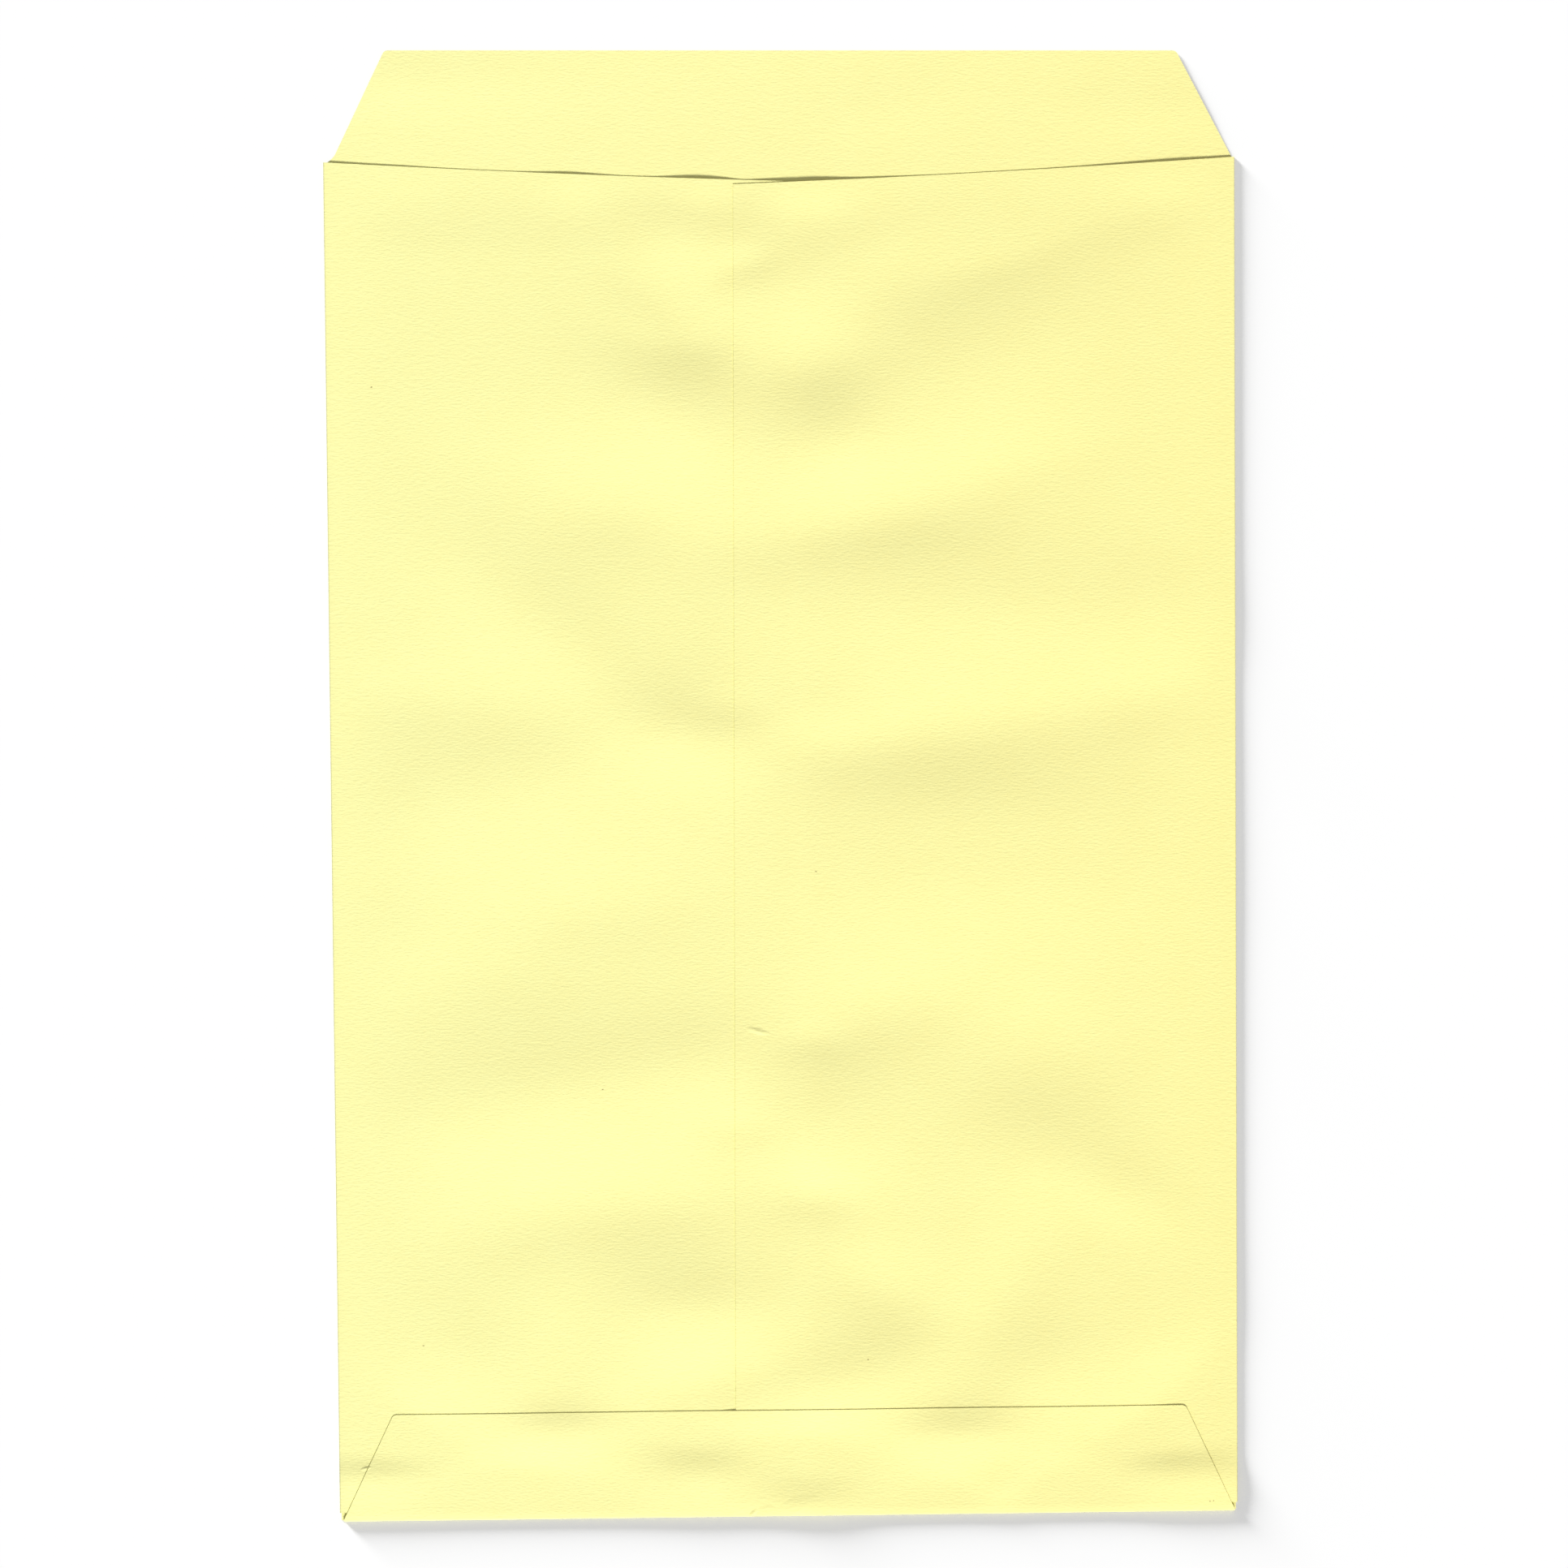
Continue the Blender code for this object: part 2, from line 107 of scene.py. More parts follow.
# The ripples, each as: place across and up the body, in shares of its width and height,
# then length, width, turn in degrees and rise. Length, width and rise count in these units:
RIPPLE_LENGTH = 0.010
RIPPLE_WIDTH = 0.005
RIPPLE_RISE = 0.00055
RIDGES = (
    (-0.104, 0.463, 0.7, 0.9, -30, 1.2),
    (0.022, 0.417, 1.0, 0.9, 15, 0.7),
    (-0.132, 0.315, 1.0, 1.2, -28, 1.6),
    (0.050, 0.291, 0.6, 0.9, 10, 0.9),
    (0.218, 0.352, 1.9, 1.5, 24, 1.0),
    (-0.305, 0.176, 1.5, 1.4, -38, 1.1),
    (-0.202, 0.121, 1.0, 1.2, -38, 0.8),
    (0.202, 0.170, 2.3, 1.2, 0, 0.9),
    (0.435, 0.172, 0.8, 1.2, 0, 0.5),
    (-0.102, 0.073, 1.0, 1.0, -14, 1.5),
    (-0.310, 0.036, 2.5, 1.4, 15, 1.1),
    (0.205, -0.026, 2.3, 1.7, 0, 1.4),
    (-0.250, -0.190, 2.0, 1.4, 10, 1.7),
    (-0.090, -0.165, 0.9, 1.1, 10, 0.7),
    (0.049, -0.213, 0.8, 1.5, -20, 1.2),
    (0.295, -0.235, 1.0, 1.2, -10, 0.8),
    (-0.099, -0.348, 0.9, 0.9, 0, 1.3),
    (0.067, -0.405, 0.9, 0.9, 12, 1.4),
    (-0.342, -0.391, 0.8, 0.9, -55, 0.8),
    (0.302, -0.396, 0.6, 1.0, 30, 0.8),
    (0.192, -0.446, 0.8, 0.8, 0, 1.5),
    (-0.256, -0.444, 0.6, 0.7, 0, 1.0),
    (-0.099, -0.485, 0.7, 0.6, 0, 2.2),
    (-0.430, -0.480, 0.8, 0.7, 0, 2.3),
    (0.440, -0.480, 0.8, 0.7, 0, 2.5),
    (0.440, -0.352, 0.9, 1.8, 30, 0.6),
    (0.385, -0.264, 0.8, 0.8, -25, 0.7),
)
HOLLOWS = (
    (-0.108, 0.384, 0.7, 0.9, -50, 1.2),
    (0.033, 0.351, 0.7, 0.9, 8, 1.3),
    (0.228, 0.436, 1.7, 1.0, 22, 0.9),
    (-0.190, 0.246, 1.4, 1.1, -16, 1.1),
    (0.155, 0.252, 1.8, 0.9, 14, 1.2),
    (-0.100, 0.185, 0.9, 0.9, -80, 0.6),
    (-0.395, 0.099, 1.6, 0.9, -3, 1.0),
    (0.160, 0.078, 2.0, 1.0, 6, 1.3),
    (0.400, 0.102, 1.2, 0.9, 4, 0.6),
    (-0.283, -0.077, 2.0, 1.4, 16, 1.4),
    (0.096, -0.130, 1.1, 1.1, 14, 1.2),
    (0.275, -0.157, 1.0, 1.4, -5, 1.2),
    (-0.158, -0.269, 1.2, 1.1, 0, 1.4),
    (-0.319, -0.286, 1.1, 1.1, 5, 1.3),
    (0.042, -0.265, 0.7, 0.8, -20, 1.0),
    (0.107, -0.331, 0.8, 1.0, -30, 1.3),
    (-0.099, -0.408, 0.9, 0.8, 18, 1.3),
    (0.030, -0.450, 0.8, 0.7, 0, 1.6),
    (-0.465, -0.436, 1.1, 1.1, -25, 2.2),
    (0.432, -0.418, 1.0, 0.9, 40, 1.4),
    (0.233, -0.352, 1.3, 1.0, 62, 1.0),
    (-0.240, -0.385, 1.0, 0.9, 85, 0.7),
    (0.318, -0.483, 0.6, 0.6, 0, 1.0),
    (-0.292, -0.476, 0.7, 0.6, 0, 1.0),
)

# Where the mouth gapes a little, with a flatter place at the seam
MOUTH_LIFTS = (
    (-0.436, 0.496, 0.5, 0.8, 0, 0.25),
    (-0.236, 0.491, 0.4, 0.8, 0, 0.5),
    (-0.093, 0.486, 0.4, 0.8, 0, 0.85),
    (-0.045, 0.486, 0.15, 0.8, 0, -0.2),
    (0.026, 0.484, 0.5, 0.8, 0, 1.1),
    (0.105, 0.488, 0.4, 0.8, 0, 0.2),
    (0.450, 0.496, 1.1, 0.8, 0, 0.65),
)

# Small dents from handling: ridges, and hollows with a rise below zero
DENTS = (
    (0.040, 0.430, 1.0, 0.8, 0, -0.35),
    (-0.045, 0.422, 0.4, 0.35, 20, -0.4),
    (-0.150, 0.383, 0.7, 0.5, -30, 0.3),
    (-0.102, 0.363, 0.6, 0.6, 0, -0.4),
    (-0.245, 0.228, 0.8, 0.8, 0, -0.3),
    (-0.250, 0.200, 0.6, 0.9, 0, -0.25),
    (0.150, 0.230, 1.7, 0.7, 5, -0.4),
    (-0.055, 0.096, 0.5, 0.5, 0, -0.4),
    (0.050, 0.090, 0.8, 0.6, 0, 0.4),
    (-0.360, 0.095, 1.3, 0.8, 0, 0.4),
    (0.220, 0.021, 1.8, 0.9, 0, 0.5),
    (-0.260, -0.080, 1.3, 0.8, 0, 0.4),
    (-0.430, -0.085, 0.9, 1.3, 10, 0.7),
    (0.031, -0.150, 0.4, 0.4, 0, -0.4),
    (-0.050, -0.215, 0.45, 0.45, 0, -0.35),
    (0.040, -0.262, 0.5, 0.5, 0, -0.4),
    (-0.345, -0.286, 0.9, 1.0, 0, 0.6),
    (-0.247, -0.438, 0.7, 0.5, 0, 0.9),
    (0.190, -0.440, 0.8, 0.5, 0, 0.9),
    (-0.455, -0.443, 0.7, 0.5, 0, -1.9),
    (-0.425, -0.480, 0.8, 0.7, 0, -1.4),
    (-0.460, -0.468, 0.7, 0.5, 0, 2.1),
    (-0.096, -0.444, 0.6, 0.5, 0, -1.2),
    (-0.099, -0.485, 0.7, 0.6, 0, -1.1),
    (-0.093, -0.468, 0.6, 0.5, 0, 1.2),
    (0.430, -0.443, 0.8, 0.5, 0, -1.3),
    (0.435, -0.480, 0.8, 0.7, 0, -1.3),
    (0.450, -0.467, 0.7, 0.5, 0, 1.5),
    (0.242, -0.479, 0.35, 0.5, 0, 1.1),
    (0.030, -0.492, 0.6, 0.5, 0, 1.7),
    (-0.275, -0.482, 0.9, 0.5, 0, -0.9),
    (0.178, -0.482, 0.45, 0.5, 0, -1.0),
    (0.310, -0.482, 0.4, 0.5, 0, -1.0),
)

# Cells of the finished sheet, about 1.2 mm each
BEND_CELLS = 8
FLAP_ROWS = 14
BODY_ROWS = 164
MOUTH_ROWS = 8
LEFT_COLUMNS = 56
RIGHT_COLUMNS = 60
STEP_COLUMNS = 2
OVERLAP_COLUMNS = 8

# Rounds in which two lines that cross are followed to their meeting point
CROSS_ROUNDS = 6


def blend(start, end, share):
    return start + (end - start) * share


def clamp(share):
    return min(max(share, 0.0), 1.0)


def ease(share):
    share = clamp(share)
    return share * share * (3.0 - 2.0 * share)


def station(anchors, cells, index):
    """The index-th line of a row of cells that is shared out between the anchors."""
    for start, end, count in zip(anchors, anchors[1:], cells):
        if index <= count:
            return blend(start, end, index / count)
        index -= count
    return anchors[-1]


def foot_y(x):
    return FOOT_LEVEL + x * FOOT_SLOPE


def mouth_y(x):
    return MOUTH_LEVEL + x * MOUTH_SLOPE


def fold_x(side, y):
    return side * HALF_FRONT - y * LEAN[side]


def seam_x(y):
    """The cut edge of the right panel, on top of the seam."""
    return SEAM_PLACE - y * LEAN[RIGHT]


def hidden_x(y):
    """The cut edge of the left panel, under the seam."""
    return SEAM_PLACE + OVERLAP - y * LEAN[LEFT]


def cross(line_x, level_y):
    """Where a nearly upright line meets a nearly level one."""
    x, y = 0.0, 0.0
    for _ in range(CROSS_ROUNDS):
        x = line_x(y)
        y = level_y(x)
    return x, y


def ripple_sum(ripples, x, y):
    total = 0.0
    for across, up, length, width, turn, rise in ripples:
        dx = x - across * BODY_WIDTH
        dy = y - up * BODY_HEIGHT
        cosine = math.cos(math.radians(turn))
        sine = math.sin(math.radians(turn))
        along = (dx * cosine + dy * sine) / (length * RIPPLE_LENGTH)
        over = (dy * cosine - dx * sine) / (width * RIPPLE_WIDTH)
        total += rise * RIPPLE_RISE * math.exp(-0.5 * (along * along + over * over))
    return total


def above_zero(height):
    """The same height, eased so that it never falls below zero."""
    return (height + math.hypot(height, SOFTNESS)) / 2


def back_lift(x, y):
    """How far the back panels stand above the height of their folds."""
    to_side = min(x - fold_x(LEFT, y), fold_x(RIGHT, y) - x)
    side = ease(to_side / SIDE_EASE)
    foot = ease((y - foot_y(x)) / FOOT_EASE)
    mouth = ease((mouth_y(x) - y) / MOUTH_EASE)
    waves = ripple_sum(RIDGES + DENTS, x, y) - ripple_sum(HOLLOWS, x, y)
    lift = PUFF * side * foot * blend(MOUTH_SHARE, 1.0, mouth)
    lift += waves * blend(EDGE_CALM, 1.0, side * foot)
    at_mouth = 1.0 - ease((mouth_y(x) - DROP[RIGHT] - y) / MOUTH_PRESS_RUN)
    at_mouth *= ease(to_side / MOUTH_PRESS_RUN)
    return blend(above_zero(lift), ripple_sum(MOUTH_LIFTS, x, y) - MOUTH_PRESS, at_mouth)


def cover(x, y):
    """1 over the two layers of the seam, falling to 0 beside them."""
    from_left = (x - seam_x(y)) / STEP_RUN + 1.0
    from_right = (hidden_x(y) - x) / STEP_RUN + 1.0
    return clamp(min(from_left, from_right))


def left_point(x, y):
    return Vector((x, y, FOLD_HEIGHT + back_lift(x, y)))


def right_point(x, y):
    return left_point(x, y) + Vector((0.0, 0.0, LAYER * cover(x, y)))


def throat_y(x, edge_x, corner_x, drop):
    """The cut edge of a side panel at the mouth, from its fold to its free edge."""
    share = (x - corner_x) / (edge_x - corner_x)
    share += THROAT_BOW * share * (1.0 - share)
    return mouth_y(x) - drop * share


def add_patch(sheet, columns, rows, place):
    """Add a grid of cells to the sheet, each corner moved to where place() puts it."""
    grid = bmesh.ops.create_grid(sheet, x_segments=columns, y_segments=rows, size=0.5)
    for vert in grid["verts"]:
        column = round((vert.co.x + 0.5) * columns)
        row = round((vert.co.y + 0.5) * rows)
        vert.co = place(column, row)


def turn_over(start, outward, end_height, step):
    """A point on a fold, from the front at step 0 to the back at step BEND_CELLS."""
    angle = math.pi * step / BEND_CELLS
    point = Vector(start) + Vector(outward) * FOLD_REACH * math.sin(angle)
    point.z = end_height * (1.0 - math.cos(angle)) / 2
    return point


def panel_lines(side):
    """The upright lines that part a side panel, and the number of columns between them."""
    def fold(y):
        return fold_x(side, y)

    if side == LEFT:
        lines = (fold, lambda y: seam_x(y) - STEP_RUN, seam_x, hidden_x)
        return lines, (LEFT_COLUMNS, STEP_COLUMNS, OVERLAP_COLUMNS)
    lines = (fold, lambda y: hidden_x(y) + STEP_RUN, hidden_x, seam_x)
    return lines, (RIGHT_COLUMNS, STEP_COLUMNS, OVERLAP_COLUMNS)


def column_ends(side):
    """The X of each column of a side panel at the level of the foot fold and of the mouth."""
    lines, cells = panel_lines(side)
    ends = []
    for level in (foot_y, mouth_y):
        stops = [cross(line, level)[0] for line in lines]
        ends.append([station(stops, cells, index) for index in range(sum(cells) + 1)])
    return list(zip(*ends))


def add_side_panel(sheet, side):
    """A side fold and the panel that it carries, in columns from the fold to the seam."""
    edge = hidden_x if side == LEFT else seam_x
    point = left_point if side == LEFT else right_point
    corner_x = cross(lambda y: fold_x(side, y), mouth_y)[0]
    edge_x = cross(edge, mouth_y)[0]
    ends = column_ends(side)

    def place(column, row):
        foot_x, top_x = ends[max(column - BEND_CELLS, 0)]
        foot = foot_y(foot_x)
        mouth = mouth_y(top_x)
        throat = throat_y(top_x, edge_x, corner_x, DROP[side])
        anchors = (foot + PANEL_CLEAR, foot + FOOT_FLAP, mouth - MOUTH_BAND, throat)
        y = station(anchors, (FLAP_ROWS, BODY_ROWS, MOUTH_ROWS), row)
        x = blend(foot_x, top_x, (y - foot) / (mouth - foot))
        end = point(x, y)
        if column >= BEND_CELLS:
            return end
        return turn_over((x, y, 0.0), (side, 0.0, 0.0), end.z, column)

    add_patch(sheet, BEND_CELLS + len(ends) - 1, FLAP_ROWS + BODY_ROWS + MOUTH_ROWS, place)


blank = bmesh.new()
add_side_panel(blank, LEFT)
add_side_panel(blank, RIGHT)

# Foot flap.
# A tapered tab of the same blank, folded up over the lower ends of the side panels and
# glued to them. Its pressed fold is the foot of the envelope.
FOOT_TAPER = 0.0083
FOOT_INSET_LEFT = 0.0004
FOOT_INSET_RIGHT = 0.0002
CORNER = 0.0005
CORNER_ROWS = 4

# Inside each slanted side the flap has columns of its own, which stand in for the outermost
# ones of the panel below
FOOT_SKIP = 12
FOOT_SIDE_COLUMNS = 8

# Its right side edge stands a little off the panel below
FOOT_EDGE_LIFT = 0.00009
FOOT_EDGE_RUN = 0.006


def corner_cut(rise, top):
    """How far the round corners of a flap draw its slanted sides in near its free edge."""
    depth = max(rise - top + CORNER, 0.0)
    return CORNER - math.sqrt(CORNER * CORNER - depth * depth)


def foot_row(rise):
    """The X of each column of the flap. All but the outer ones follow the panels below."""
    taper = FOOT_TAPER * rise / FOOT_FLAP + corner_cut(rise, FOOT_FLAP)
    left = cross(lambda y: fold_x(LEFT, y), foot_y)[0] + FOOT_INSET_LEFT + taper
    right = cross(lambda y: fold_x(RIGHT, y), foot_y)[0] - FOOT_INSET_RIGHT - taper
    followed = column_ends(LEFT)[FOOT_SKIP:]
    followed += reversed(column_ends(RIGHT)[FOOT_SKIP:-OVERLAP_COLUMNS])
    inner = []
    for foot_x, top_x in followed:
        inner.append(blend(foot_x, top_x, rise / (mouth_y(top_x) - foot_y(foot_x))))
    shares = [step / FOOT_SIDE_COLUMNS for step in range(FOOT_SIDE_COLUMNS)]
    outer_left = [blend(left, inner[0], share) for share in shares]
    outer_right = [blend(right, inner[-1], share) for share in reversed(shares)]
    return outer_left + inner + outer_right


foot_stops = (0.0, PANEL_CLEAR, FOOT_FLAP - CORNER, FOOT_FLAP)
foot_cells = (1, FLAP_ROWS, CORNER_ROWS)
foot_rises = [station(foot_stops, foot_cells, row) for row in range(sum(foot_cells) + 1)]
foot_rows = [foot_row(rise) for rise in foot_rises]


def foot_place(column, row):
    line = max(row - BEND_CELLS, 0)
    rise = foot_rises[line]
    x = foot_rows[line][column]
    y = foot_y(x) + rise
    layers = 1.0 + cover(x, y) * clamp(rise / PANEL_CLEAR)
    height = FOLD_HEIGHT + back_lift(x, y) + LAYER * layers
    at_edge = 1.0 - ease((foot_rows[line][-1] - x) / FOOT_EDGE_RUN)
    height += FOOT_EDGE_LIFT * at_edge * ease(rise / FOOT_EDGE_RUN)
    if row >= BEND_CELLS:
        return Vector((x, y, height))
    return turn_over((x, y, 0.0), (0.0, -1.0, 0.0), height, row)


add_patch(blank, len(foot_rows[0]) - 1, BEND_CELLS + sum(foot_cells), foot_place)

# Seal flap.
# The tapered tab of the blank above the mouth, cut with round corners. It is open and was
# never creased, so it carries on from the front and lies nearly flat on the table.
SEAL_FLAP = 0.0184
SEAL_EDGE = MOUTH_LEVEL + SEAL_FLAP
SEAL_TAPER_LEFT = 0.0089
SEAL_TAPER_RIGHT = 0.0094
SEAL_INSET_LEFT = 0.0011
SEAL_INSET_RIGHT = 0.0002
SEAL_CURL = 0.00015

# Its ripples, given as those of the back are
SEAL_WAVES = (
    (-0.400, 0.552, 1.4, 0.8, 0, 0.6),
    (0.094, 0.522, 0.9, 0.8, 20, 0.6),
    (0.400, 0.525, 1.0, 0.8, 0, 0.8),
)

# At its left base it flares out to the fold
SEAL_FLARE = 0.0007
SEAL_FLARE_RISE = 0.0014
SEAL_COLUMNS = 124
SEAL_LEFT = cross(lambda y: fold_x(LEFT, y), mouth_y)[0] + SEAL_INSET_LEFT
SEAL_RIGHT = cross(lambda y: fold_x(RIGHT, y), mouth_y)[0] - SEAL_INSET_RIGHT

seal_stops = (0.0, SEAL_FLARE_RISE, SEAL_FLAP - CORNER, SEAL_FLAP)
seal_cells = (CORNER_ROWS, FLAP_ROWS, CORNER_ROWS)


def seal_place(column, row):
    rise = station(seal_stops, seal_cells, row)
    share = rise / SEAL_FLAP
    flare = SEAL_FLARE * (1.0 - clamp(rise / SEAL_FLARE_RISE)) ** 2
    start = SEAL_LEFT + SEAL_TAPER_LEFT * share + corner_cut(rise, SEAL_FLAP) - flare
    end = SEAL_RIGHT - SEAL_TAPER_RIGHT * share - corner_cut(rise, SEAL_FLAP)
    x = blend(start, end, column / SEAL_COLUMNS)
    lift = SEAL_CURL * share * share
    y = blend(mouth_y(x), SEAL_EDGE, share)
    return Vector((x, y, lift + ripple_sum(SEAL_WAVES, x, y) * ease(share)))


add_patch(blank, SEAL_COLUMNS, sum(seal_cells), seal_place)

# Front.
# The address side, flat on the table, which joins the folds and the seal flap into one
# sheet. It is one face, with a narrow band of faces inside its rim that keeps it level.
RIM_BAND = 0.0012
SHARP_EDGE = math.radians(50)

# Points no further apart than this are one
SAME_PLACE = PAPER / 100


def on_front(point):
    beside = fold_x(LEFT, point.y) - SAME_PLACE < point.x < fold_x(RIGHT, point.y) + SAME_PLACE
    return beside and foot_y(point.x) - SAME_PLACE < point.y < mouth_y(point.x) + SAME_PLACE


# The two corners at the foot, between the ends of the folds
for side in (LEFT, RIGHT):
    blank.verts.new((*cross(lambda y: fold_x(side, y), foot_y), 0.0))
rim = [vert for vert in blank.verts if abs(vert.co.z) < SAME_PLACE and on_front(vert.co)]
rim.sort(key=lambda vert: math.atan2(vert.co.y, vert.co.x))
front = blank.faces.new(rim)
bmesh.ops.inset_individual(blank, faces=[front], thickness=RIM_BAND, use_even_offset=True)
bmesh.ops.remove_doubles(blank, verts=blank.verts, dist=SAME_PLACE)
bmesh.ops.recalc_face_normals(blank, faces=blank.faces)

# The cells lie midway in the paper, which gets its thickness to both sides of them
mesh = bpy.data.meshes.new("envelope_sheet")
blank.to_mesh(mesh)
blank.free()
draft = bpy.data.objects.new("envelope_draft", mesh)
bpy.context.scene.collection.objects.link(draft)
shell = draft.modifiers.new("thickness", "SOLIDIFY")
shell.thickness = PAPER
shell.offset = 0.0
shell.use_even_offset = True
shell.use_quality_normals = True
graph = bpy.context.evaluated_depsgraph_get()
sheet_mesh = bpy.data.meshes.new_from_object(draft.evaluated_get(graph))
bpy.data.objects.remove(draft)

# Its middle comes over the middle of the solid that it replaces, its underside on the table
low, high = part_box("envelope")
xs = [vert.co.x for vert in sheet_mesh.vertices]
ys = [vert.co.y for vert in sheet_mesh.vertices]
zs = [vert.co.z for vert in sheet_mesh.vertices]
shift = Vector((
    (low[0] + high[0] - min(xs) - max(xs)) / 2,
    (low[1] + high[1] - min(ys) - max(ys)) / 2,
    low[2] - min(zs),
))
for vert in sheet_mesh.vertices:
    vert.co += shift
sheet_mesh.shade_smooth()
sheet_mesh.set_sharp_from_angle(angle=SHARP_EDGE)
envelope = bpy.data.objects.new("envelope_sheet", sheet_mesh)
bpy.context.scene.collection.objects.link(envelope)

# Paper finish.
# Pale yellow paper, coloured through, uncoated and dull. Its fibres lie mostly across the
# envelope, which gives a fine grain of short level ridges. It has a few specks and creases.
PAPER_COLOUR = (0.975, 0.950, 0.420, 1.0)
PAPER_DARK = (0.960, 0.870, 0.333, 1.0)
SPECK_COLOUR = (0.300, 0.220, 0.090, 1.0)
PAPER_ROUGHNESS = 0.8
PAPER_GLOSS = 0.25

# The raised grain, and the clouds and mottling between the two colours
GRAIN_LENGTH = 0.0009
GRAIN_WIDTH = 0.00032
GRAIN_RISE = 0.000065
GRAIN_DETAIL = 2.0
CLOUD_SIZE = 0.007
CLOUD_SHARE = 0.25
CLOUD_DETAIL = 2.0
MOTTLE_LENGTH = 0.0009
MOTTLE_WIDTH = 0.0006
MOTTLE_SHARE = 0.45
MOTTLE_DETAIL = 3.0

# Painted shade, darkening to the right: how much more of the dark colour a metre to the right
RIGHTWARD_PAINTED_SHADE = 4.0

# Specks of dirt, each as: place along X and Y, length, width, turn in degrees
SPECKS = (
    (0.0724, -0.1205, 0.0004, 0.0003, 0),
    (0.0730, -0.1204, 0.0003, 0.0003, 0),
    (-0.0299, -0.0511, 0.0005, 0.0003, 20),
    (-0.0601, -0.0943, 0.0005, 0.0003, 0),
    (0.0060, -0.0144, 0.0006, 0.0003, -15),
    (0.0148, -0.0966, 0.0004, 0.0004, 0),
    (-0.0689, 0.0672, 0.0005, 0.0004, 30),
)

# Short creases, given in the same way
CREASES = (
    (-0.0698, -0.1150, 0.0020, 0.0007, 14),
    (-0.0046, -0.1226, 0.0022, 0.0009, 45),
    (-0.0022, -0.1229, 0.0042, 0.0036, 12),
    (0.0030, -0.1222, 0.0100, 0.0050, 25),
    (-0.0038, -0.0413, 0.0045, 0.0011, -15),
)
CREASE_RISE = 0.00016

paper = bpy.data.materials.new("yellow_paper_finish")
paper.use_nodes = True
nodes = paper.node_tree.nodes
links = paper.node_tree.links
shader = nodes["Principled BSDF"]
shader.inputs["Roughness"].default_value = PAPER_ROUGHNESS
shader.inputs["Specular IOR Level"].default_value = PAPER_GLOSS
shader.inputs["Metallic"].default_value = 0.0
coordinates = nodes.new("ShaderNodeTexCoord")
paper_place = coordinates.outputs["Object"]


def add_math(operation, first, second):
    """A sum, product or comparison of two sockets, or of a socket and a number."""
    node = nodes.new("ShaderNodeMath")
    node.operation = operation
    for socket, value in zip(node.inputs, (first, second)):
        if isinstance(value, float):
            socket.default_value = value
        else:
            links.new(value, socket)
    return node.outputs["Value"]


def add_noise(size, detail):
    """Noise whose blots measure size along X, Y and Z."""
    mapping = nodes.new("ShaderNodeMapping")
    mapping.inputs["Scale"].default_value = [1.0 / length for length in size]
    links.new(paper_place, mapping.inputs["Vector"])
    noise = nodes.new("ShaderNodeTexNoise")
    noise.inputs["Scale"].default_value = 1.0
    noise.inputs["Detail"].default_value = detail
    links.new(mapping.outputs["Vector"], noise.inputs["Vector"])
    return noise.outputs["Fac"]


def add_marks(marks):
    """Soft oval spots on the faces that look up, 1 at their middle and 0 at their rim."""
    facing = nodes.new("ShaderNodeSeparateXYZ")
    links.new(coordinates.outputs["Normal"], facing.inputs["Vector"])
    total = 0.0
    for x, y, length, width, turn in marks:
        mapping = nodes.new("ShaderNodeMapping")
        mapping.vector_type = "TEXTURE"
        mapping.inputs["Location"].default_value = (x, y, 0.0)
        mapping.inputs["Rotation"].default_value = (0.0, 0.0, math.radians(turn))
        mapping.inputs["Scale"].default_value = (length / 2, width / 2, 1.0)
        links.new(paper_place, mapping.inputs["Vector"])
        spot = nodes.new("ShaderNodeTexGradient")
        spot.gradient_type = "SPHERICAL"
        links.new(mapping.outputs["Vector"], spot.inputs["Vector"])
        total = add_math("ADD", spot.outputs["Fac"], total)
    return add_math("MULTIPLY", total, add_math("GREATER_THAN", facing.outputs["Z"], 0.0))


def add_tint(amount, start, end):
    """A colour between two others, each a colour or a socket."""
    mix = nodes.new("ShaderNodeMix")
    mix.data_type = "RGBA"
    links.new(amount, mix.inputs["Factor"])
    for socket, value in zip((mix.inputs["A"], mix.inputs["B"]), (start, end)):
        if isinstance(value, tuple):
            socket.default_value = value
        else:
            links.new(value, socket)
    return mix.outputs["Result"]


grain = add_noise((GRAIN_LENGTH, GRAIN_WIDTH, GRAIN_WIDTH), GRAIN_DETAIL)
crease = add_math("MULTIPLY", add_marks(CREASES), CREASE_RISE / GRAIN_RISE)
bump = nodes.new("ShaderNodeBump")
bump.inputs["Distance"].default_value = GRAIN_RISE
links.new(add_math("ADD", grain, crease), bump.inputs["Height"])
links.new(bump.outputs["Normal"], shader.inputs["Normal"])
cloud_and_painted_shade = add_noise((CLOUD_SIZE, CLOUD_SIZE, CLOUD_SIZE), CLOUD_DETAIL)
cloud_and_painted_shade = add_math("MULTIPLY", cloud_and_painted_shade, CLOUD_SHARE)
across = nodes.new("ShaderNodeSeparateXYZ")
links.new(paper_place, across.inputs["Vector"])
# Painted shade: more of the dark colour the further right, added to the clouds
cloud_and_painted_shade = add_math("ADD", cloud_and_painted_shade, add_math("MULTIPLY", across.outputs["X"], RIGHTWARD_PAINTED_SHADE))
mottle = add_noise((MOTTLE_LENGTH, MOTTLE_WIDTH, MOTTLE_WIDTH), MOTTLE_DETAIL)
mottle = add_math("MULTIPLY", mottle, MOTTLE_SHARE)
tint = add_tint(add_math("ADD", cloud_and_painted_shade, mottle), PAPER_COLOUR, PAPER_DARK)
tint = add_tint(add_marks(SPECKS), tint, SPECK_COLOUR)
links.new(tint, shader.inputs["Base Color"])
envelope.data.materials.clear()
envelope.data.materials.append(paper)

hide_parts("envelope")
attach(envelope, "root")

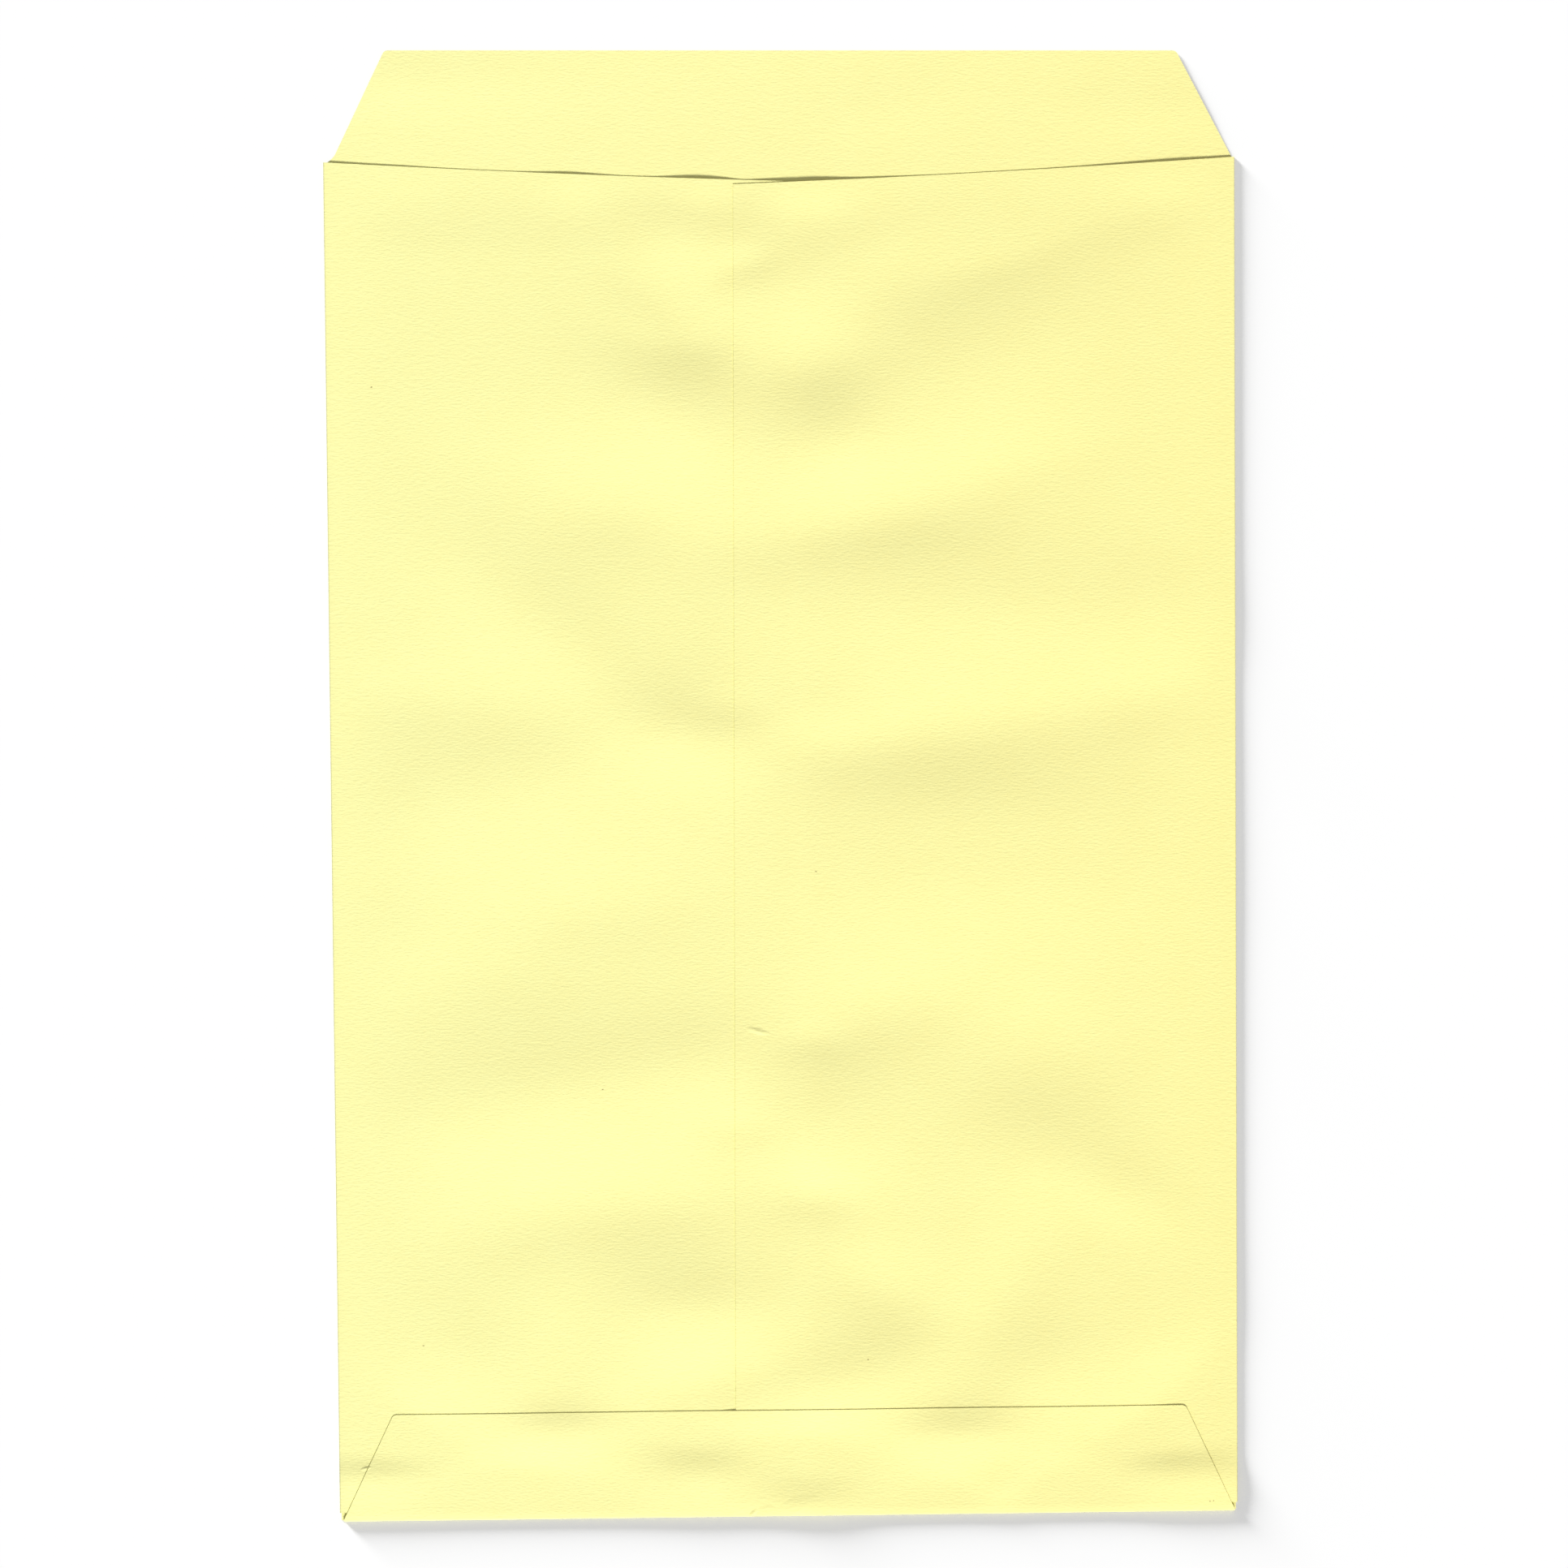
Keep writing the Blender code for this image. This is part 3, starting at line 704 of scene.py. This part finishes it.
# Table.
# A wide white board, painted dull. The envelope lies on it loose and casts its shadow there.
# A faint glow, which is seen but lights nothing, brings the rest of the board up to white.
WHITE = (1.0, 1.0, 1.0, 1.0)
TABLE_SIZE = 3.0
TABLE_COLOUR = (0.80, 0.80, 0.80, 1.0)
TABLE_ROUGHNESS = 0.9
TABLE_GLOW = 0.386


def add_seen(tree):
    """1 for the rays by which the background is seen, 0 for those that only carry light."""
    path = tree.nodes.new("ShaderNodeLightPath")
    seen = path.outputs["Is Camera Ray"]
    for kind in ("Is Glossy Ray", "Is Transmission Ray"):
        either = tree.nodes.new("ShaderNodeMath")
        either.operation = "MAXIMUM"
        tree.links.new(seen, either.inputs[0])
        tree.links.new(path.outputs[kind], either.inputs[1])
        seen = either.outputs["Value"]
    return seen


bpy.ops.mesh.primitive_plane_add(size=TABLE_SIZE, location=(0.0, 0.0, 0.0))
table = bpy.context.object
table.name = "table"
board = bpy.data.materials.new("white_board")
board.use_nodes = True
paint = board.node_tree.nodes["Principled BSDF"]
paint.inputs["Base Color"].default_value = TABLE_COLOUR
paint.inputs["Roughness"].default_value = TABLE_ROUGHNESS
paint.inputs["Specular IOR Level"].default_value = 0.0
paint.inputs["Emission Color"].default_value = WHITE
glow = board.node_tree.nodes.new("ShaderNodeMath")
glow.operation = "MULTIPLY"
glow.inputs[1].default_value = TABLE_GLOW
board.node_tree.links.new(add_seen(board.node_tree), glow.inputs[0])
board.node_tree.links.new(glow.outputs["Value"], paint.inputs["Emission Strength"])
table.data.materials.append(board)

# Light.
# A plain white surround and two wide soft lamps. The key stands beyond the foot and brings
# out the relief of the paper. The side lamp, low beyond the top left corner, lights the
# table alone, where it gives the envelope its soft shadow to the right and below.
WORLD_STRENGTH = 0.31
WORLD_SEEN = 1.0
KEY_STRENGTH = 3.4
KEY_ELEVATION = math.radians(42)
KEY_TURN = math.radians(-81)
KEY_ANGLE = math.radians(15)
SIDE_STRENGTH = 11.9
SIDE_ELEVATION = math.radians(7)
SIDE_TURN = math.radians(135)
SIDE_ANGLE = math.radians(15)

world = bpy.data.worlds.new("surround")
world.use_nodes = True
background = world.node_tree.nodes["Background"]
background.inputs["Color"].default_value = WHITE
strength = world.node_tree.nodes.new("ShaderNodeMath")
strength.operation = "MULTIPLY_ADD"
strength.inputs[1].default_value = WORLD_SEEN - WORLD_STRENGTH
strength.inputs[2].default_value = WORLD_STRENGTH
world.node_tree.links.new(add_seen(world.node_tree), strength.inputs[0])
world.node_tree.links.new(strength.outputs["Value"], background.inputs["Strength"])
bpy.context.scene.world = world


def add_lamp(name, strength, angle, turn, elevation, lit):
    """A wide far lamp in the direction of turn and elevation that lights one object."""
    light = bpy.data.lights.new(name, "SUN")
    light.energy = strength
    light.angle = angle
    lamp = bpy.data.objects.new(name, light)
    level = math.cos(elevation)
    lamp.location = (math.cos(turn) * level, math.sin(turn) * level, math.sin(elevation))
    lamp.rotation_euler = (-lamp.location).to_track_quat("-Z", "Y").to_euler()
    bpy.context.scene.collection.objects.link(lamp)
    lit_things = bpy.data.collections.new(name + "_lights")
    lit_things.objects.link(lit)
    lamp.light_linking.receiver_collection = lit_things


add_lamp("key", KEY_STRENGTH, KEY_ANGLE, KEY_TURN, KEY_ELEVATION, envelope)
add_lamp("side", SIDE_STRENGTH, SIDE_ANGLE, SIDE_TURN, SIDE_ELEVATION, table)

# Camera.
# It looks straight down through a long lens from far above, so that there is hardly any
# perspective. The envelope nearly fills the view from top to bottom.
VIEW_WIDTH = 0.2643
VIEW_CENTRE = (0.00062, 0.00034)
VIEW_DISTANCE = 2.0
VIEW_REACH = 10.0
SENSOR = 36.0

camera = bpy.data.cameras.new("scan_view")
camera.sensor_width = SENSOR
camera.sensor_fit = "HORIZONTAL"
camera.lens = SENSOR * VIEW_DISTANCE / VIEW_WIDTH
camera.clip_end = VIEW_REACH
eye = bpy.data.objects.new("scan_view", camera)
eye.location = (*VIEW_CENTRE, VIEW_DISTANCE)
bpy.context.scene.collection.objects.link(eye)
bpy.context.scene.camera = eye
bpy.context.scene.view_settings.view_transform = "Standard"
